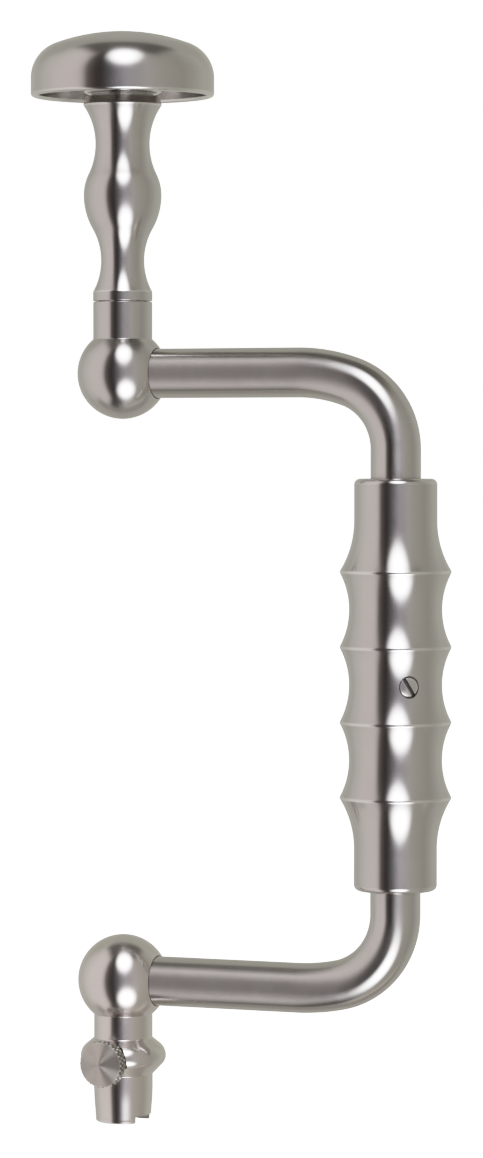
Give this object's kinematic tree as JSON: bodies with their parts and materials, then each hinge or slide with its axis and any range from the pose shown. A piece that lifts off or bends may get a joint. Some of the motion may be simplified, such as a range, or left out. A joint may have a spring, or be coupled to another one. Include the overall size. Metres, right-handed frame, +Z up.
{
  "type": "cranial hand brace",
  "caption": "Surgical hand brace: bent steel crank with a spinning mushroom palm rest, a ridged turning side grip and a notched tool chuck with a knurled thumb screw.",
  "frame": {"origin": "centre of the chuck's mouth, on the column's axis", "axes": "+Z up the column's axis from the chuck to the palm knob, +X from the column to the side grip, +Y completes the right-handed frame"},
  "size_m": [0.1119, 0.047, 0.2797],
  "materials": {
    "satin_steel": "satin, turned and brushed",
    "knurled_steel": "turned face, diamond knurl",
    "bright_steel": "machined",
    "bearing_steel": "ground and polished",
    "bronze": "turned bearing bronze",
    "brass_cage": "stamped"
  },
  "bodies": {
    "frame": {"crank_rod": "satin_steel", "upper_ball_boss": "satin_steel", "chuck_body": "satin_steel", "rest_spindle": "bright_steel", "thrust_race_lower": "bearing_steel", "retaining_washer": "bright_steel", "retaining_nut": "bright_steel"},
    "palm_rest": {"palm_knob": "satin_steel", "rest_handle": "satin_steel", "lower_bush": "bronze", "upper_bush": "bronze", "thrust_race_upper": "bearing_steel"},
    "ball_cage": {"thrust_cage": "brass_cage", "thrust_ball_01": "bearing_steel", "thrust_ball_02": "bearing_steel", "thrust_ball_03": "bearing_steel", "thrust_ball_04": "bearing_steel", "thrust_ball_05": "bearing_steel", "thrust_ball_06": "bearing_steel", "thrust_ball_07": "bearing_steel", "thrust_ball_08": "bearing_steel", "thrust_ball_09": "bearing_steel", "thrust_ball_10": "bearing_steel"},
    "grip": {"grip_sleeve": "satin_steel", "grip_bush_lower": "bronze", "grip_bush_upper": "bronze", "grip_set_screw": "bright_steel"},
    "screw_shank": {"thumb_screw_shank": "bright_steel"},
    "screw_head": {"thumb_screw_head": "knurled_steel"}
  },
  "joints": [
    {"name": "rest_spin", "type": "hinge", "parent": "frame", "child": "palm_rest", "pos_m": [0, 0, 0.23], "axis": [0, 0, 1], "continuous": true},
    {"name": "cage_spin", "type": "hinge", "parent": "frame", "child": "ball_cage", "pos_m": [0, 0, 0.2123], "axis": [0, 0, 1], "continuous": true},
    {"name": "grip_spin", "type": "hinge", "parent": "frame", "child": "grip", "pos_m": [0.0743, 0, 0.1139], "axis": [0, 0, 1], "continuous": true},
    {"name": "thumb_screw_travel", "type": "slide", "parent": "frame", "child": "screw_shank", "axis": [-0.0767, -0.9971, 0], "range_m": [-0.0004, 0.00245]},
    {"name": "thumb_screw_turn", "type": "hinge", "parent": "screw_shank", "child": "screw_head", "pos_m": [0, 0, 0.016], "axis": [-0.0767, -0.9971, 0], "range_deg": [-206, 1261]}
  ],
  "couplings": [
    {"joint": "cage_spin", "follows": "rest_spin", "ratio": 0.5},
    {"joint": "thumb_screw_turn", "follows": "thumb_screw_travel", "rad_per_m": 8976}
  ]
}
